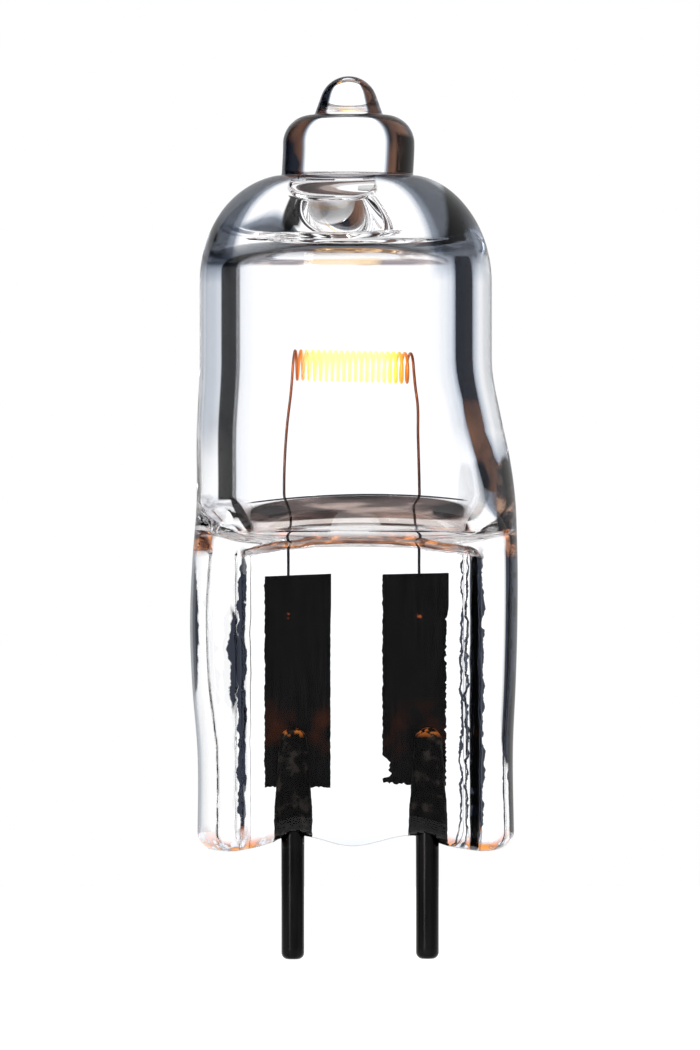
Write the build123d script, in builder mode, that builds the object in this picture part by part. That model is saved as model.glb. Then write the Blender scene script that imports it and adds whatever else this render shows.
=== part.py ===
"""Two-pin halogen capsule bulb, in millimetres.

The origin is midway between the two pins, in the plane of the lowest glass.
+Z runs up the lamp to the exhaust tip and +X runs from the left pin to the right pin.
The pins are welded on the -Y side of the foils, which is the front.
"""

import os
from math import asin, atan2, degrees, hypot, sqrt

from build123d import *

os.makedirs("parts", exist_ok=True)

# Pins
pin_pitch = 4.0
pin_diameter = 0.68
pin_weld_diameter = 0.76
pin_exposed = 3.2
pin_sealed = 3.62
pin_tip_round = 0.2
pin_head_round = 0.34
weld_flat = 0.035

# Sealing foils
foil_width = 2.0
foil_length = 6.4
foil_thickness = 0.04
foil_pitch = 3.5
foil_axis_x = -0.1
foil_overlap = 1.75

# Filament
wire_diameter = 0.085
coil_diameter = 0.93
coil_pitch = 0.172
coil_turns = 20.5
coil_share = 0.555
coil_tilt = 1.4
filament_axis_x = -0.19
leg_pitch = 3.9
leg_overlap = 1.3
leg_lead = 0.5
leg_bend = 0.6
leg_rise = 0.6

# Quartz bulb
glass_height = 22.97
bulb_diameter = 8.66
bulb_wall = 1.07
bulb_axis_x = -0.4
shoulder_rise = 3.2
shoulder_run = 2.6
crown_rise = 1.25
cavity_corner = 0.8
crown_radius = 18.0
floor_height = 9.7
floor_rise = 0.8
floor_over = 0.07

# Exhaust hole: what is left of the tube's bore above the crown, a little to the left of the axis
hole_foot_diameter = 3.9
hole_head_diameter = 2.3
hole_rise = 0.55
hole_sink = 0.2
hole_round = 0.2
hole_offset = -0.3

# Exhaust tip
tip_diameter = 3.88
tip_height = 1.77
tip_round = 0.85
nub_diameter = 1.98
nub_height = 1.15
nub_cap = 0.86

# Pinch seal
pinch_width = 9.4
pinch_axis_x = -0.1
pinch_height = 8.95
rib_thickness = 3.5
rib_round = 0.4
web_width = 6.4
web_thickness = 2.3
web_drop = 0.1
web_arch = 0.38
bulge_left = 0.22
bulge_right = 0.1
bulge_height = 6.8
bulge_foot = 3.2
ledge_round = 2.6
ledge_fillet = 0.55
flare_lift = 1.45
flare_share = 0.59
flare_blend = 0.6

# Foot of the pinch
notch_depth = 0.42
middle_lift = 0.15
corner_round = 0.6
foot_round = 0.22

# Clearances in the seal
channel_gap = 0.025
channel_head_gap = 0.04
mouth_flare = 0.28
mouth_length = 3.0
leg_gap = 0.01

# How far a cut runs past the glass
overrun = 3.0

# Radii, heights and places that follow from the sizes above
pin_r = pin_diameter / 2
pin_weld_r = pin_weld_diameter / 2
wire_r = wire_diameter / 2
coil_r = (coil_diameter - wire_diameter) / 2
coil_length = coil_turns * coil_pitch
bulb_r = bulb_diameter / 2
cavity_r = bulb_r - bulb_wall
shoulder_top = glass_height - nub_height - tip_height
shoulder_height = shoulder_top - shoulder_rise
cavity_top = shoulder_height + crown_rise
hole_head = cavity_top + hole_rise
hole_foot = cavity_top - hole_sink
hole_head_r = hole_head_diameter / 2
hole_foot_r = hole_foot_diameter / 2
hole_axis_x = bulb_axis_x + hole_offset
floor_run = cavity_r + floor_over
crown_edge = cavity_top - crown_radius + sqrt(crown_radius**2 - cavity_r**2)
coil_height = floor_height + coil_share * (cavity_top - floor_height)
shoulder_in = bulb_r - shoulder_run
tip_r = tip_diameter / 2
tip_top = shoulder_top + tip_height
nub_r = nub_diameter / 2
nub_centre = nub_height - nub_cap
nub_reach = hypot(nub_r, nub_centre)
nub_lean = degrees(asin(nub_cap / nub_reach) + atan2(nub_centre, nub_r))
rib_half = rib_thickness / 2
web_half = web_thickness / 2
weld_face = pin_weld_r - weld_flat
seal_y = weld_face + foil_thickness / 2
leg_y = weld_face + foil_thickness + wire_r
foil_foot = pin_sealed - foil_overlap
leg_foot = foil_foot + foil_length - leg_overlap
leg_turn = floor_height + leg_rise
channel_r = pin_weld_r + channel_gap
channel_head = pin_sealed + channel_head_gap
mouth_r = channel_r + mouth_flare
mouth_radius = (mouth_length**2 + mouth_flare**2) / (2 * mouth_flare)
pin_places = (-pin_pitch / 2, pin_pitch / 2)
foil_places = (foil_axis_x - foil_pitch / 2, foil_axis_x + foil_pitch / 2)
leg_places = (filament_axis_x - leg_pitch / 2, filament_axis_x + leg_pitch / 2)
pinch_left = pinch_axis_x - pinch_width / 2
pinch_right = pinch_axis_x + pinch_width / 2
bulb_left = bulb_axis_x - bulb_r
bulb_right = bulb_axis_x + bulb_r
web_head = pinch_height - web_drop
flare_foot = pinch_height + flare_lift
flare_top = flare_foot + flare_share * (shoulder_height - flare_foot)
flare_mid = (flare_foot + flare_top) / 2
round_from = flare_top + flare_blend

# The plane of the seal holds the bulb's axis, the foils and the coil's axis.
seal_plane = Plane(origin=(0, seal_y, 0), x_dir=(1, 0, 0), z_dir=(0, -1, 0))
side_plane = Plane(origin=(0, seal_y, 0), x_dir=(0, 1, 0), z_dir=(1, 0, 0))
bulb_plane = Plane(origin=(bulb_axis_x, seal_y, 0), x_dir=(1, 0, 0), z_dir=(0, -1, 0))
bulb_axis = Axis((bulb_axis_x, seal_y, 0), (0, 0, 1))
hole_plane = Plane(origin=(hole_axis_x, seal_y, 0), x_dir=(1, 0, 0), z_dir=(0, -1, 0))
hole_axis = Axis((hole_axis_x, seal_y, 0), (0, 0, 1))

# The tube as the pinch spreads it: height, left edge and right edge of each oval
lower_ovals = [
    (-overrun, pinch_left, pinch_right),
    (0, pinch_left, pinch_right),
    (bulge_foot, pinch_left, pinch_right),
    (bulge_height, pinch_left - bulge_left, pinch_right + bulge_right),
]
upper_ovals = [
    (flare_foot, pinch_left, pinch_right),
    (flare_mid, (pinch_left + bulb_left) / 2, (pinch_right + bulb_right) / 2),
    (flare_top, bulb_left, bulb_right),
    (round_from, bulb_left, bulb_right),
]

# Glass envelope: the pinched tube, still full
with BuildPart() as glass:
    for height, left, right in lower_ovals + upper_ovals:
        with BuildSketch(Plane(((left + right) / 2, seal_y, height))):
            Ellipse((right - left) / 2, bulb_r)
    loft()

    # Round bulb, domed shoulder, the stub of the exhaust tube and its drawn tip
    with BuildSketch(bulb_plane):
        with BuildLine():
            Polyline((0, shoulder_top), (0, round_from), (bulb_r, round_from), (bulb_r, shoulder_height))
            shoulder = EllipticalCenterArc(
                (shoulder_in, shoulder_height), shoulder_run, shoulder_rise, 0, arc_size=90
            )
            Line(shoulder @ 1, (0, shoulder_top))
        make_face()
        with BuildLine():
            Polyline((0, shoulder_height), (tip_r, shoulder_height), (tip_r, tip_top - tip_round))
            stub = RadiusArc((tip_r, tip_top - tip_round), (tip_r - tip_round, tip_top), -tip_round)
            nub = CenterArc((0, tip_top + nub_centre), nub_cap, 90 - nub_lean, nub_lean)
            Polyline(stub @ 1, (nub_r, tip_top), nub @ 0)
            Line(nub @ 1, (0, shoulder_height))
        make_face()
    revolve(axis=bulb_axis)

    # The jaws squeeze the tube to the ribs' thickness and leave a rounded ledge under the bulb.
    with BuildSketch(side_plane):
        for side in (-1, 1):
            with BuildLine():
                wall = Line((side * rib_half, -2 * overrun), (side * rib_half, pinch_height))
                ledge_y = side * (rib_half + ledge_fillet)
                ledge_z = pinch_height + ledge_fillet
                RadiusArc(wall @ 1, (ledge_y, ledge_z), side * ledge_fillet)
                ledge = CenterArc((ledge_y, ledge_z + ledge_round), ledge_round, -90, side * 80)
                outside = side * bulb_diameter
                Polyline(ledge @ 1, (outside, (ledge @ 1).Y), (outside, -2 * overrun), wall @ 0)
            make_face()
    extrude(amount=2 * pinch_width, both=True, mode=Mode.SUBTRACT)
    long_edges = glass.edges().filter_by(lambda e: e.length > pinch_height and not e.is_closed)
    rib_edges = long_edges.filter_by(
        lambda e: e.center().Z < pinch_height and abs(e.center().Y - seal_y) > web_half
    )
    fillet(rib_edges, radius=rib_round)

    # The web between the ribs, pressed deeper by the middle of each jaw
    for side in (-1, 1):
        with BuildSketch(
            Plane(
                origin=(pinch_axis_x, seal_y + side * web_half, 0),
                x_dir=(-side, 0, 0),
                z_dir=(0, side, 0),
            )
        ):
            with BuildLine():
                web = Polyline(
                    (-web_width / 2, web_head),
                    (-web_width / 2, -2 * overrun),
                    (web_width / 2, -2 * overrun),
                    (web_width / 2, web_head),
                )
                ThreePointArc(web @ 1, (0, web_head + web_arch), web @ 0)
            make_face()
        extrude(amount=bulb_r, mode=Mode.SUBTRACT)

    # The foot: drawn up round each pin, sagging between them, rounded at its corners
    with BuildSketch(seal_plane):
        with BuildLine():
            left_side = Line((pinch_left - overrun, corner_round), (pinch_left, corner_round))
            left_corner = RadiusArc(left_side @ 1, (pinch_left + corner_round, 0), -corner_round)
            right_side = Line((pinch_right, corner_round), (pinch_right + overrun, corner_round))
            right_corner = RadiusArc((pinch_right - corner_round, 0), right_side @ 0, -corner_round)
            Spline(
                left_corner @ 1,
                (-pin_pitch / 2, notch_depth),
                (0, middle_lift),
                (pin_pitch / 2, notch_depth),
                right_corner @ 0,
                tangents=[(1, 0), (1, 0)],
            )
            Polyline(
                right_side @ 1,
                (pinch_right + overrun, -2 * overrun),
                (pinch_left - overrun, -2 * overrun),
                left_side @ 0,
            )
        make_face()
    extrude(amount=bulb_diameter, both=True, mode=Mode.SUBTRACT)
    low_edges = glass.edges().filter_by(lambda e: e.center().Z < notch_depth)
    foot_edges = low_edges.filter_by(
        lambda e: e.length > web_width and abs(e.center().Y - seal_y) > web_half / 2
    )
    fillet(foot_edges, radius=foot_round)

# The gas space: the tube's bore, a shallow crown with the exhaust hole, and the closed floor below
with BuildPart() as cavity:
    for height, left, right in [(floor_height - overrun, pinch_left, pinch_right)] + upper_ovals:
        with BuildSketch(Plane(((left + right) / 2, seal_y, height))):
            Ellipse((right - left) / 2 - bulb_wall, cavity_r)
    loft()
    with BuildSketch(bulb_plane) as crown:
        with BuildLine():
            Polyline((0, cavity_top), (0, round_from), (cavity_r, round_from), (cavity_r, crown_edge))
            RadiusArc((cavity_r, crown_edge), (0, cavity_top), -crown_radius)
        make_face()
        fillet(crown.vertices().sort_by(Axis.X)[-2:].sort_by(Axis.Y)[-1], radius=cavity_corner)
    revolve(axis=bulb_axis)
    with BuildSketch(hole_plane) as hole:
        with BuildLine():
            Polyline(
                (0, hole_foot),
                (hole_foot_r, hole_foot),
                (hole_head_r, hole_head),
                (0, hole_head),
                (0, hole_foot),
            )
        make_face()
        fillet(hole.vertices().sort_by(Axis.Y)[-2:].sort_by(Axis.X)[-1], radius=hole_round)
    revolve(axis=hole_axis)
    with BuildSketch(side_plane):
        with BuildLine():
            floor = EllipticalCenterArc(
                (0, floor_height + floor_rise), floor_run, floor_rise, 190, arc_size=160
            )
            Polyline(floor @ 1, ((floor @ 1).X, 0), ((floor @ 0).X, 0), floor @ 0)
        make_face()
    extrude(amount=2 * pinch_width, both=True, mode=Mode.SUBTRACT)

# The envelope hollowed out, with the slots that the foils fill and the channels round legs and pins
with glass:
    add(cavity.part, mode=Mode.SUBTRACT)
    for place in foil_places:
        with BuildSketch(Plane((place, seal_y, foil_foot))):
            Rectangle(foil_width, foil_thickness)
        extrude(amount=foil_length, mode=Mode.SUBTRACT)
    for place in leg_places:
        with BuildSketch(Plane((place, leg_y, leg_foot - leg_gap))):
            Circle(wire_r + leg_gap)
        extrude(amount=leg_turn - leg_foot, mode=Mode.SUBTRACT)
    for place in pin_places:
        with BuildSketch(Plane(origin=(place, 0, 0), x_dir=(1, 0, 0), z_dir=(0, -1, 0))):
            with BuildLine():
                bore = Polyline((0, channel_head), (channel_r, channel_head), (channel_r, mouth_length))
                mouth = RadiusArc(bore @ 1, (mouth_r, 0), mouth_radius)
                Polyline(mouth @ 1, (mouth_r, -overrun), (0, -overrun), bore @ 0)
            make_face()
        revolve(axis=Axis((place, 0, 0), (0, 0, 1)), mode=Mode.SUBTRACT)
glass.part.label = "glass_envelope"

# Foils: flat ribbons in the plane of the seal
foils = []
for name, place in zip(("left_foil", "right_foil"), foil_places):
    with BuildPart() as foil:
        with BuildSketch(Plane((place, seal_y, foil_foot))):
            Rectangle(foil_width, foil_thickness)
        extrude(amount=foil_length)
    foil.part.label = name
    foils.append(foil.part)

# Pins: a rounded outer end, and a sealed end that the weld spread and flattened on the foil
pins = []
for name, place in zip(("left_pin", "right_pin"), pin_places):
    with BuildPart() as pin:
        with BuildSketch(Plane(origin=(place, 0, 0), x_dir=(1, 0, 0), z_dir=(0, -1, 0))) as rod:
            with BuildLine():
                Polyline(
                    (0, pin_sealed),
                    (0, -pin_exposed),
                    (pin_r, -pin_exposed),
                    (pin_r, 0),
                    (pin_weld_r, pin_sealed),
                    (0, pin_sealed),
                )
            make_face()
            fillet(rod.vertices().sort_by(Axis.Y)[:2].sort_by(Axis.X)[-1], radius=pin_tip_round)
            fillet(rod.vertices().sort_by(Axis.Y)[-2:].sort_by(Axis.X)[-1], radius=pin_head_round)
        revolve(axis=Axis((place, 0, 0), (0, 0, 1)))
        with BuildSketch(Plane((place, weld_face + pin_weld_r, 0))):
            Rectangle(4 * pin_weld_r, 2 * pin_weld_r)
        extrude(amount=2 * pin_sealed, mode=Mode.SUBTRACT)
    pin.part.label = name
    pins.append(pin.part)

# Filament: one wire, coiled along X, with each leg leaving the coil along the wire's own direction
coil_centre = (filament_axis_x, seal_y, coil_height)
coil_start = (filament_axis_x - coil_length / 2, seal_y, coil_height)
with BuildPart() as filament:
    with BuildLine() as coil_line:
        turns = Helix(
            coil_pitch, coil_length, coil_r, center=coil_start, direction=(1, 0, 0), mode=Mode.PRIVATE
        )
        turns = turns.rotate(Axis(coil_centre, (1, 0, 0)), -90)
        turns = turns.rotate(Axis(coil_centre, (0, 1, 0)), coil_tilt)
        add(turns)
    with BuildSketch(Plane(origin=turns @ 0, z_dir=turns % 0)):
        Circle(wire_r)
    sweep(path=coil_line.line, is_frenet=True)
    coil_ends = ((turns @ 0, turns % 0 * -1), (turns @ 1, turns % 1))
    for place, (coil_point, coil_way) in zip(leg_places, coil_ends):
        with BuildLine() as leg_line:
            FilletPolyline(
                coil_point,
                coil_point + coil_way * leg_lead,
                (place, leg_y, leg_turn),
                (place, leg_y, leg_foot),
                radius=leg_bend,
            )
        with BuildSketch(Plane(origin=coil_point, z_dir=coil_way)):
            Circle(wire_r)
        sweep(path=leg_line.line)
filament.part.label = "filament"

export_step(glass.part, "parts/glass_envelope.step")
export_step(filament.part, "parts/filament.step")
for piece in foils + pins:
    export_step(piece, "parts/" + piece.label + ".step")
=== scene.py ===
# %% [markdown]
# # A two-pin halogen bulb
# The bulb is a thick quartz capsule with a coil of glowing wire inside. Its lower end was pinched flat
# while it was soft, round two thin foils that carry the current from the pins to the coil. The solids are
# already built, and they are loaded here as a fixed frame. Each one is dressed with a finer mesh in the same
# place.

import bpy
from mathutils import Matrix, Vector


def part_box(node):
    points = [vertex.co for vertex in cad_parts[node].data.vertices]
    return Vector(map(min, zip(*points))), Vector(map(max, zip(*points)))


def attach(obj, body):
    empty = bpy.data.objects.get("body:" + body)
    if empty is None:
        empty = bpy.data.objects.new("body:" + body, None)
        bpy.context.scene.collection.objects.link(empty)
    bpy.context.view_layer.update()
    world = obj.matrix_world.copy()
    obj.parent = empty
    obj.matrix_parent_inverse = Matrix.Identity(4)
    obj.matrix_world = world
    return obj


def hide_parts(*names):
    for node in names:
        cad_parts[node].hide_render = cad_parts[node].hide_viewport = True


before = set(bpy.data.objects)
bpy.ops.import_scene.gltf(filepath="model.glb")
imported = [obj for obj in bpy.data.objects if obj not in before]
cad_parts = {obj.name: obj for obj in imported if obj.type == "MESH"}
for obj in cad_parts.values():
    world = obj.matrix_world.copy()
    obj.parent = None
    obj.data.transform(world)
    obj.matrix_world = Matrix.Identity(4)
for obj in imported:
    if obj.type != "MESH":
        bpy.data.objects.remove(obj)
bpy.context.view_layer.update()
print("nodes:", ", ".join(sorted(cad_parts)))

# %% [markdown]
# ## Working in millimetres
# Blender counts in metres, and this bulb is only 26 mm tall. The shapes are therefore worked out in
# millimetres, as arrays of points, and scaled once when a mesh is made. Arrays are quicker than adding one
# vertex at a time, and a formula for a surface stays readable.

# %% Helpers for points and meshes
import math

import bmesh
import bpy
import numpy as np

mm = 0.001
same_place = 0.00002


def node_box(node):
    """Lowest and highest corner of a solid, in millimetres."""
    low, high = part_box(node)
    return np.array(low) / mm, np.array(high) / mm


def grid_faces(rows, count):
    """Quads between the rows of a grid of points whose rows are closed loops."""
    start = np.arange(rows - 1)[:, None] * count
    here = np.arange(count)[None, :]
    after = (here + 1) % count
    quads = [start + here, start + after, start + count + after, start + count + here]
    return np.stack(quads, axis=-1).reshape(-1, 4)


def make_mesh(name, shells):
    """One smooth mesh from shells of (points, faces), with points in the same place merged."""
    mesh = bpy.data.meshes.new(name)
    points = np.concatenate([p for p, _ in shells])
    starts = np.cumsum([0] + [len(p) for p, _ in shells])
    faces = np.concatenate([f + s for (_, f), s in zip(shells, starts)])
    mesh.from_pydata((points * mm).tolist(), [], faces.tolist())
    work = bmesh.new()
    work.from_mesh(mesh)
    bmesh.ops.remove_doubles(work, verts=work.verts, dist=same_place * mm)
    work.to_mesh(mesh)
    work.free()
    mesh.shade_smooth()
    return mesh


# %% Helpers for objects
def put(name, data):
    """A new object in the scene."""
    thing = bpy.data.objects.new(name, data)
    bpy.context.scene.collection.objects.link(thing)
    return thing


def make_piece(name, mesh, node):
    """An object that stands for one of the solids."""
    piece = put(name, mesh)
    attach(piece, "root")
    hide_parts(node)
    print(name, "has", len(mesh.polygons), "faces")
    return piece


# %% Helpers for curves
def soft_step(t):
    """0 below 0, 1 above 1, and a smooth rise between."""
    t = np.clip(t, 0, 1)
    return t * t * (3 - 2 * t)


def soft_min(a, b, blend):
    """The smaller of two values, with the corner between them rounded."""
    share = np.clip(0.5 + 0.5 * (b - a) / blend, 0, 1)
    return b * (1 - share) + a * share - blend * share * (1 - share)


def smooth_between(place, value, slope, at):
    """Values between known places, on a smooth curve that keeps the known slopes."""
    k = np.clip(np.searchsorted(place, at) - 1, 0, len(place) - 2)
    width = place[k + 1] - place[k]
    t = (at - place[k]) / width
    rise = value[k] * (1 + 2 * t) * (1 - t) ** 2 + value[k + 1] * t**2 * (3 - 2 * t)
    return rise + width * (slope[k] * t * (1 - t) ** 2 - slope[k + 1] * t**2 * (1 - t))


def curve_through(points):
    """A smooth function through a few (place, value) points, level beyond the ends."""
    place, value = np.array(points, dtype=float).T
    slope = np.gradient(value, place)
    slope[0] = slope[-1] = 0
    return lambda at: smooth_between(place, value, slope, np.clip(at, place[0], place[-1]))


def ripple(at, seed, waves, longest, shortest):
    """A fixed irregular wave of about unit height: sines of mixed lengths and phases."""
    draw = np.random.default_rng(seed)
    total = 0
    for length in np.geomspace(longest, shortest, waves):
        total = total + np.sin(2 * np.pi * at / length + draw.uniform(0, 2 * np.pi)) * draw.uniform(0.5, 1)
    return total / math.sqrt(waves / 2)


# %% [markdown]
# ## The quartz envelope, from the outside
# The envelope began as a round tube. Above, it was closed to a dome with the stub of the tube that the
# air was pumped out through. Below, two jaws pressed it flat, deeper in the middle, and left two ribs.
# Clear glass shows every facet by bending light, so the mesh comes from formulas, with many small faces:
# rings round the tube, each an oval that the jaws limit in depth.

# %% Sizes of the envelope
glass_low, glass_high = node_box("glass_envelope")
bulb_r = (glass_high[1] - glass_low[1]) / 2
seal_y = (glass_high[1] + glass_low[1]) / 2
glass_top = glass_high[2]
bulb_axis_x = -0.4
tip_shift = 0.09
left_outline = [(0, -4.8), (3.0, -4.8), (5.0, -4.96), (6.8, -5.02)]
left_outline += [(8.6, -4.95), (10.2, -4.83), (12.4, -4.82), (14.6, -4.73)]
left_edge = curve_through(left_outline)
right_outline = [(0, 4.6), (3.2, 4.57), (5.0, 4.65), (6.8, 4.7), (9.2, 4.69)]
right_outline += [(10.6, 4.62), (11.6, 4.48), (12.8, 4.22), (14.6, 3.93)]
right_edge = curve_through(right_outline)
round_from = 14.8
shoulder_z = 16.85
print("bulb radius", round(bulb_r, 3), "mm, glass top at", round(glass_top, 3), "mm")

# %% Sizes of the pinch
rib_half = 1.75
web_half = 1.15
web_axis_x = -0.1
web_reach = 3.4
step_width = 0.42
web_head = 8.85
head_arch = 0.38
head_width = 0.24
pinch_z = 8.95
hollow_r = 0.55
hollow_turn = np.radians(76)
ledge_rise = 1.25
ledge_from = np.radians(30)
rib_round = 0.45
foot_round = 0.6
corner_round = 0.6
foot_reach = 3.0
foot_taper = 0.95
foot_arches = [(-4.2, 0), (-3.3, 0.08), (-1.8, 0.45), (-0.35, 0.14), (1.7, 0.43), (2.7, 0.12), (3.8, 0)]
foot_lift = curve_through(foot_arches)
step_rough = 0.012
head_rough = 0.02
side_shift = 3
face_shift = 0.04
print("pinch is", 2 * rib_half, "mm thick at the ribs and", 2 * web_half, "mm at the web")

# %% Columns of the envelope's mesh
# They stand close together where the web steps up to a rib, and they follow the oval beyond that.
step_reach = 0.5
step_columns = np.linspace(-step_reach, step_reach, 21)
web_columns = np.linspace(-web_reach + step_reach, web_reach - step_reach, 31)[1:-1]
fixed_x = web_axis_x + np.concatenate([step_columns - web_reach, web_columns, step_columns + web_reach])
side_share = np.sin(np.linspace(0, np.pi / 2, 15))[1:]


def oval_angles(centre, half_width):
    """Angle of each column on an oval: 0 at the front and a quarter turn at either side."""
    middle = np.arcsin(np.clip((fixed_x - centre) / half_width, -1, 1))
    right = middle[-1] + side_share * (np.pi / 2 - middle[-1])
    left = middle[0] - side_share[::-1] * (np.pi / 2 + middle[0])
    return np.concatenate([left, middle, right])


print("columns on the web and its steps:", len(fixed_x))

# %% Rows of the pinched part: height above the foot, and how deep the glass is in the middle
fine_from = 8.6
coarse_step = 0.09
fine_step = 0.025
turn = np.linspace(0, np.pi / 2, 10)
rows_foot = foot_round * (1 - np.cos(turn))
coarse_rows = np.arange(foot_round, fine_from, coarse_step)[1:]
rows_wall = np.concatenate([coarse_rows, np.arange(fine_from, pinch_z, fine_step)])
turn = np.linspace(0, hollow_turn, 32)
rows_hollow = pinch_z + hollow_r * np.sin(turn)
deep_hollow = rib_half + hollow_r * (1 - np.cos(turn))
turn = np.linspace(ledge_from, np.pi / 2, 48)[1:]
ledge_run = (bulb_r - deep_hollow[-1]) / (1 - np.sin(ledge_from))
rows_ledge = rows_hollow[-1] + ledge_rise * (np.cos(ledge_from) - np.cos(turn))
deep_ledge = bulb_r - ledge_run * (1 - np.sin(turn))
rows_tube = np.linspace(rows_ledge[-1], round_from, 16)[1:]
tube_rows = np.concatenate([rows_foot, rows_wall, rows_hollow, rows_ledge, rows_tube])
flat_rows = len(rows_foot) + len(rows_wall)
tube_deep = np.concatenate(
    [np.full(flat_rows, rib_half), deep_hollow, deep_ledge, np.full(len(rows_tube), bulb_r)]
)
print(len(tube_rows), "rows in the pinched part,", len(fixed_x) + 2 * len(side_share), "columns to a side")


# %% The pinched part: front and back points
def web_press(x, z, face):
    """1 where the middle of a jaw pressed the web, 0 on the ribs; the edges are rough from the hot jaws."""
    side = np.sign(x - web_axis_x)
    at = z + side_shift * side + face_shift * face
    wander = step_rough * ripple(at, seed=11, waves=5, longest=3.0, shortest=0.8)
    across = soft_step((web_reach - np.abs(x - web_axis_x) + wander) / step_width + 0.5)
    head = web_head + head_arch * (1 - ((x - web_axis_x) / web_reach) ** 2)
    at = x + face_shift * face
    head = head + head_rough * ripple(at, seed=23, waves=7, longest=2.0, shortest=0.3)
    return across * soft_step((head - z) / head_width + 0.5)


def pinched_points(face):
    """Points of the front (face -1) or the back (face 1), row by row from the foot."""
    sheet = []
    for row, deep in zip(tube_rows, tube_deep):
        inset = corner_round - math.sqrt(corner_round**2 - max(corner_round - row, 0) ** 2)
        left = left_edge(row) + inset
        right = right_edge(row) - inset
        centre = (left + right) / 2
        angle = oval_angles(centre, (right - left) / 2)
        x = centre + (right - left) / 2 * np.sin(angle)
        z = row + foot_lift(x) * (1 - soft_step(row / foot_reach))
        oval = bulb_r * np.cos(angle)
        pinched = soft_min(oval, rib_half, rib_round)
        depth = pinched + (oval - pinched) * (deep - rib_half) / (bulb_r - rib_half)
        depth = depth - (rib_half - web_half) * web_press(x, row, face)
        lost = min(foot_round, max(foot_round - row, 0))
        taper = np.minimum(foot_round, foot_taper * depth) / foot_round
        depth = depth - taper * (foot_round - math.sqrt(foot_round**2 - lost**2))
        sheet.append(np.stack([x, seal_y + face * np.maximum(depth, 0), z], axis=-1))
    return np.array(sheet)


front, back = pinched_points(-1), pinched_points(1)
print("pinch is", round(float(np.ptp(front[:, :, 0])), 2), "mm wide")

# %% The underside of the foot: rows that run from its middle line out to its edges
closing = np.array([0, 0.25, 0.5, 0.75])[:, None]
middle_y = np.full(front.shape[1], seal_y)


def underside(sheet):
    """Rows that close one face's first row towards the middle line."""
    edge = sheet[0]
    y = middle_y + closing * (edge[:, 1] - middle_y)
    x = np.broadcast_to(edge[:, 0], y.shape)
    z = np.broadcast_to(edge[:, 2], y.shape)
    return np.stack([x, y, z], axis=-1)


front = np.concatenate([underside(front), front])
back = np.concatenate([underside(back), back])
print("underside of the foot has", 2 * len(closing), "rows")

# %% [markdown]
# ## Dome, stub and tip
# Above the pinch the glass is round, so a profile turned about the bulb's axis gives it. Blender's Screw
# modifier could turn it, but the rings have to meet the pinched rings point for point, so the profile is
# swept with the same column angles. The tip was drawn off by hand and stands slightly to one side.

# %% Sizes of the dome, stub and tip
shoulder_rise = 3.2
shoulder_run = 2.6
stub_r = 1.95
stub_top = 21.82
stub_round = 0.85
neck_round = 0.14
neck_lift = 0.6
root_round = 0.1
root_lift = 0.09
nub_r = 0.99
nub_cap = 0.86
lean_from = 19.0
lean_height = 2.0
print("stub is", 2 * stub_r, "mm across, and the tip", 2 * nub_r, "mm")


# %% Profile of the round part
def arc(centre_r, centre_z, radius_r, radius_z, start, end, count):
    """Points (radius, height) on an arc of the profile, angles in degrees from level."""
    angle = np.radians(np.linspace(start, end, count))
    return np.stack([centre_r + radius_r * np.cos(angle), centre_z + radius_z * np.sin(angle)], axis=-1)


def line(start, end, count):
    """Points on a straight stretch of the profile, without its ends."""
    return np.linspace(start, end, count + 2)[1:-1]


shoulder = arc(bulb_r - shoulder_run, shoulder_z, shoulder_run, shoulder_rise, 0, 80.5, 44)
neck_z = shoulder[-1, 1] + neck_lift * neck_round
neck = arc(stub_r + neck_round, neck_z, neck_round, neck_round, 250, 180, 8)
corner = arc(stub_r - stub_round, stub_top - stub_round, stub_round, stub_round, 0, 84, 16)
root = arc(nub_r + root_round, stub_top + root_lift, root_round, root_round, 255, 195, 6)
nub = arc(0, glass_top - nub_cap, nub_cap, nub_cap, 17.2, 90, 22)
profile = np.concatenate(
    [
        line((bulb_r, round_from), (bulb_r, shoulder_z), 12),
        shoulder,
        neck,
        line(neck[-1], corner[0], 10),
        corner,
        root,
        line(root[-1], nub[0], 5),
        nub,
    ]
)
print("profile of the dome has", len(profile), "points")

# %% Rings of the round part
top_angles = oval_angles(bulb_axis_x, bulb_r)


def turned(profile, face, angles, shift):
    """Front or back points of a profile turned about the bulb's axis, each row shifted to the side."""
    radius = profile[:, :1]
    height = np.broadcast_to(profile[:, 1:], (len(profile), len(angles)))
    x = bulb_axis_x + shift[:, None] + radius * np.sin(angles)
    y = seal_y + face * radius * np.cos(angles)
    return np.stack([x, y, height], axis=-1)


lean_over = tip_shift * soft_step((profile[:, 1] - lean_from) / lean_height)
front = np.concatenate([front, turned(profile, -1, top_angles, lean_over)])
back = np.concatenate([back, turned(profile, 1, top_angles, lean_over)])


def skin(front, back):
    """A closed shell from front and back points that meet at their sides."""
    around = np.concatenate([front, back[:, ::-1]], axis=1)
    return around.reshape(-1, 3), grid_faces(*around.shape[:2])


outside = skin(front, back)
print("outside of the envelope:", len(outside[0]), "points")

# %% [markdown]
# ## The gas space
# Inside, the tube's bore keeps its wall thickness. A shallow crown closes it above, with the wide foot of
# the exhaust hole in it, and the pinch closes it below with a trough. Light crosses this inner surface too,
# and it is what makes the dark bands at the sides, so it is a shell of its own, turned inside out and joined
# to the outside.

# %% Sizes of the gas space
wall = 1.07
cavity_r = bulb_r - wall
floor_z = 9.7
floor_rise = 0.8
floor_corner = 0.5
crown_top = 18.1
crown_r = 18.0
crown_corner = 0.8
hole_foot_r = 1.9
hole_head_r = 1.15
hole_rise = 0.55
hole_round = 0.2
hole_fillet = 0.15
hole_shift = -0.3
print("bore is", round(2 * cavity_r, 2), "mm from front to back")

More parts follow.
